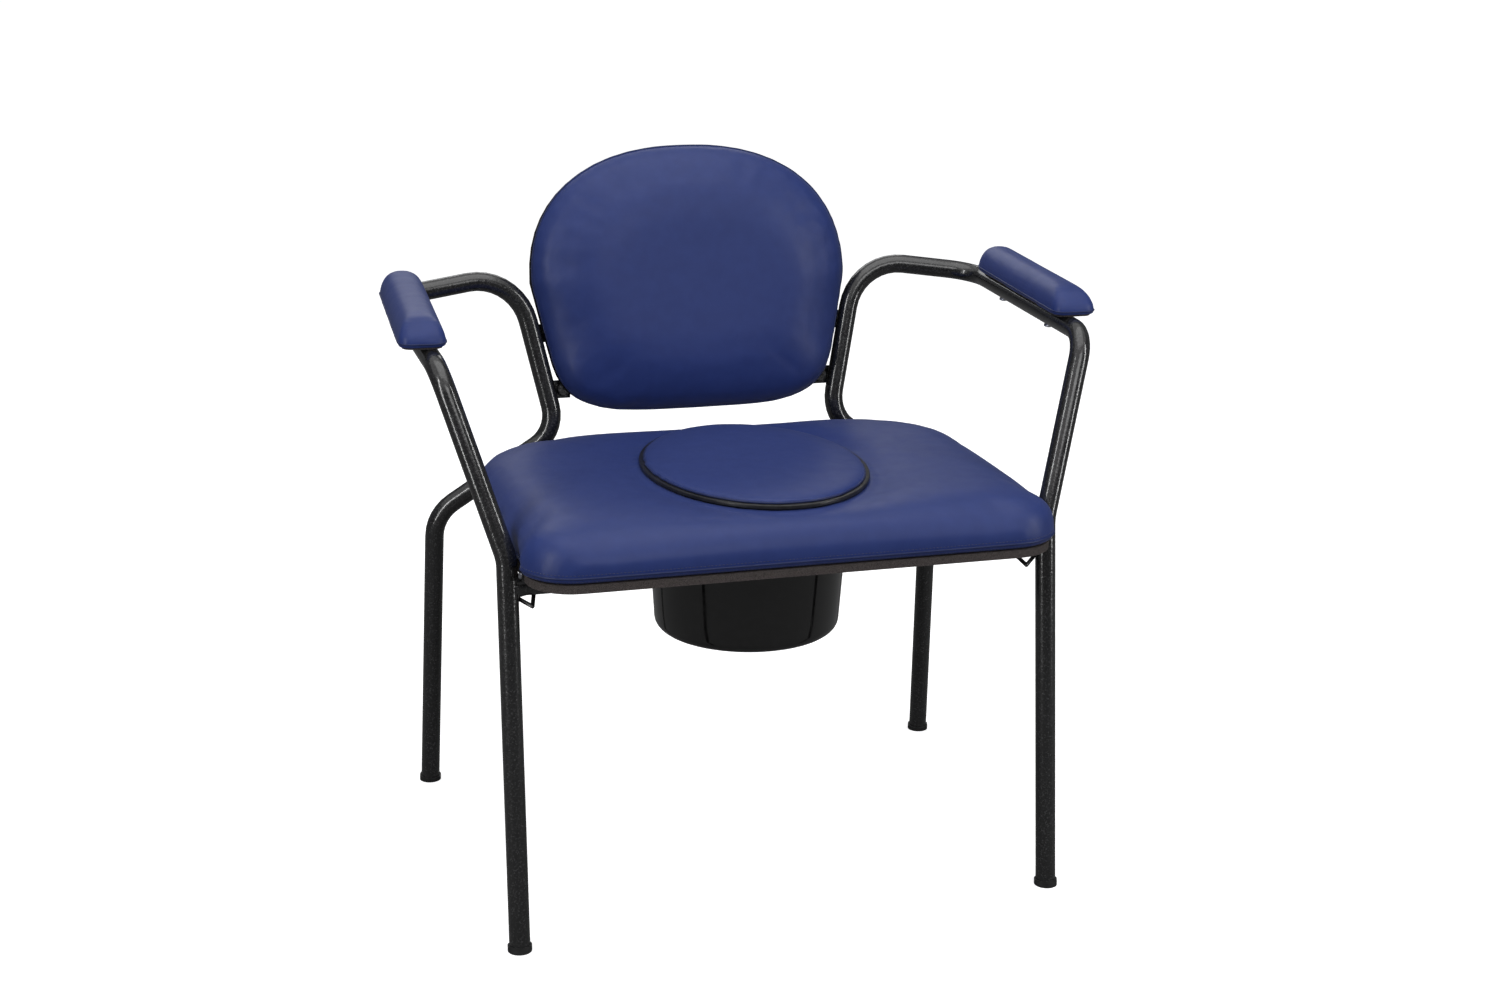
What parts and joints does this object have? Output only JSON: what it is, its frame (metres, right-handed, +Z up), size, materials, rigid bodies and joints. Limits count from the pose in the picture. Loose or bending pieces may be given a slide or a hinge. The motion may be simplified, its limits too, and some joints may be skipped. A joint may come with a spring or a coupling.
{
  "type": "commode chair",
  "caption": "Wide commode chair with bent tube side frames, padded seat with a lift-off oval plug, sideways sliding pan, padded back and arm pads.",
  "frame": {"origin": "on the floor, under the middle of the whole chair's box", "axes": "+X to the sitter's left, +Y rearward from the front of the seat to the back, +Z up"},
  "size_m": [0.8771, 0.5903, 0.874],
  "materials": {
    "frame_coat": "satin",
    "glide": "matte",
    "board": "matte",
    "vinyl": "satin",
    "zinc": "satin",
    "plug_shell": "satin",
    "pan_shell": "gloss",
    "trim": "matte"
  },
  "bodies": {
    "frame": {"side_frame_left": "frame_coat", "side_frame_right": "frame_coat", "front_cross_tube": "frame_coat", "rear_cross_tube": "frame_coat", "seat_bracket_front_left": "frame_coat", "seat_bracket_front_right": "frame_coat", "seat_bracket_rear_left": "frame_coat", "seat_bracket_rear_right": "frame_coat", "pan_rail_front": "frame_coat", "pan_rail_rear": "frame_coat", "glide_front_left": "glide", "glide_front_right": "glide", "glide_rear_left": "glide", "glide_rear_right": "glide", "seat_board": "board", "seat_cushion": "vinyl", "seat_screws": "zinc", "seat_edge_screws": "zinc", "seat_tee_nuts": "zinc", "back_board": "board", "back_cushion": "vinyl", "back_panel": "trim", "back_screws": "zinc", "back_tee_nuts": "zinc", "back_bracket_lower_left": "frame_coat", "back_bracket_lower_right": "frame_coat", "back_bracket_upper_left": "frame_coat", "back_bracket_upper_right": "frame_coat", "arm_board_left": "board", "arm_board_right": "board", "arm_cushion_left": "vinyl", "arm_cushion_right": "vinyl", "arm_screws": "zinc", "arm_tee_nuts": "zinc"},
    "plug": {"plug_base": "plug_shell", "plug_board": "board", "plug_cushion": "vinyl", "plug_screws": "zinc"},
    "pan": {"pan": "pan_shell"}
  },
  "joints": [
    {"name": "plug_lift", "type": "slide", "parent": "frame", "child": "plug", "axis": [0, 0, 1], "range_m": [0, 0.15]},
    {"name": "pan_slide", "type": "slide", "parent": "frame", "child": "pan", "axis": [1, 0, 0], "range_m": [-0.42, 0.42]}
  ]
}
